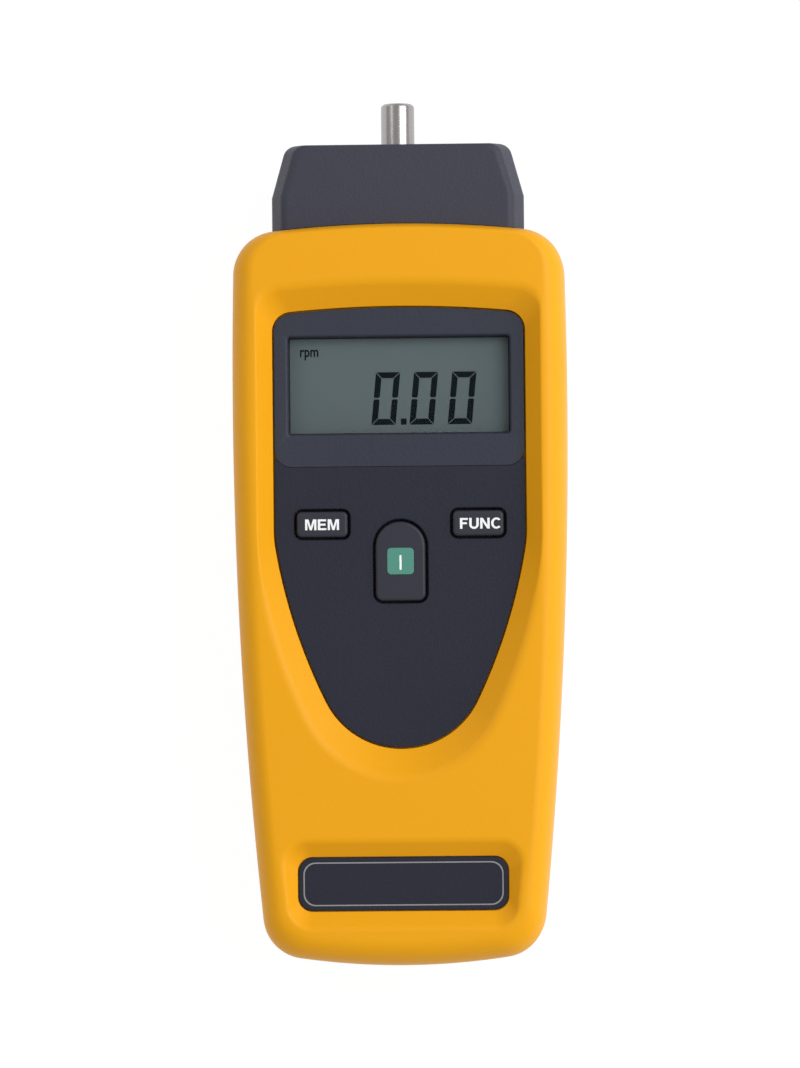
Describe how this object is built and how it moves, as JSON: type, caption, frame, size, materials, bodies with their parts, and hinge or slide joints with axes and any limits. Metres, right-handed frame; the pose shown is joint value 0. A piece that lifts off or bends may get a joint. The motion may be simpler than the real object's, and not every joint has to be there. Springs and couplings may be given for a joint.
{
  "type": "handheld laser tachometer",
  "caption": "Handheld digital laser tachometer with a sloped yellow case, dark display and key panel, and a push-on contact adapter with a spinning steel shaft.",
  "frame": {"origin": "middle of the bounding box in X and Y, on the back face that it lies on", "axes": "+Y from the foot of the case to the contact shaft, +Z out of the display face, X across"},
  "size_m": [0.06, 0.154, 0.028],
  "materials": {
    "yellow_shell": "fine matt moulded surface",
    "dark_panel": "satin moulded surface",
    "key_plastic": "matt",
    "key_mark": "satin",
    "clear_window": "polished",
    "display": "satin",
    "connector": "matt",
    "dome_rubber": "matt",
    "board": "solder mask",
    "nose_plastic": "matt",
    "red_window": "polished",
    "laser_brass": "turned",
    "sensor_black": "gloss",
    "cell_wrap": "printed sleeve",
    "spring_steel": "nickel plated",
    "screw_steel": "black zinc",
    "adapter_plastic": "satin moulded surface",
    "shaft_steel": "ground and polished",
    "bearing_steel": "ground",
    "disc_black": "black anodised"
  },
  "bodies": {
    "case": {"front_case": "yellow_shell", "rear_case": "yellow_shell", "display_bezel": "dark_panel", "keypad_panel": "dark_panel", "nameplate": "dark_panel", "lcd_window": "clear_window", "lcd_cell": "display", "lcd_connectors": "connector", "mem_dome": "dome_rubber", "func_dome": "dome_rubber", "power_dome": "dome_rubber", "circuit_board": "board", "optics_nose": "nose_plastic", "nose_window": "red_window", "laser_module": "laser_brass", "photo_sensor": "sensor_black", "battery_cell_1": "cell_wrap", "battery_cell_2": "cell_wrap", "battery_cell_3": "cell_wrap", "battery_cell_4": "cell_wrap", "battery_springs": "spring_steel", "battery_plates": "spring_steel", "case_screws": "screw_steel"},
    "door": {"battery_door": "yellow_shell"},
    "mem_key": {"mem_button": "key_plastic"},
    "func_key": {"func_button": "key_plastic"},
    "power_key": {"power_button": "key_plastic", "power_mark": "key_mark"},
    "adapter": {"adapter_housing": "adapter_plastic", "rear_bearing_outer": "bearing_steel", "front_bearing_outer": "bearing_steel"},
    "spindle": {"adapter_shaft": "shaft_steel", "rear_bearing_inner": "bearing_steel", "front_bearing_inner": "bearing_steel", "chopper_disc": "disc_black", "shaft_clip": "spring_steel"}
  },
  "joints": [
    {"name": "mem_press", "type": "slide", "parent": "case", "child": "mem_key", "axis": [0, 0, -1], "range_m": [0, 0.0009], "stiffness_N_per_m": 1200, "deforming": ["mem_dome"]},
    {"name": "func_press", "type": "slide", "parent": "case", "child": "func_key", "axis": [0, 0, -1], "range_m": [0, 0.0009], "stiffness_N_per_m": 1200, "deforming": ["func_dome"]},
    {"name": "power_press", "type": "slide", "parent": "case", "child": "power_key", "axis": [0, 0, -1], "range_m": [0, 0.0009], "stiffness_N_per_m": 1200, "deforming": ["power_dome"]},
    {"name": "battery_door_slide", "type": "slide", "parent": "case", "child": "door", "axis": [0, -1, 0], "range_m": [0, 0.062]},
    {"name": "adapter_pull", "type": "slide", "parent": "case", "child": "adapter", "axis": [0, 1, 0], "range_m": [0, 0.015]},
    {"name": "shaft_spin", "type": "hinge", "parent": "adapter", "child": "spindle", "pos_m": [0, 0.066, 0.014], "axis": [0, 1, 0], "continuous": true}
  ]
}
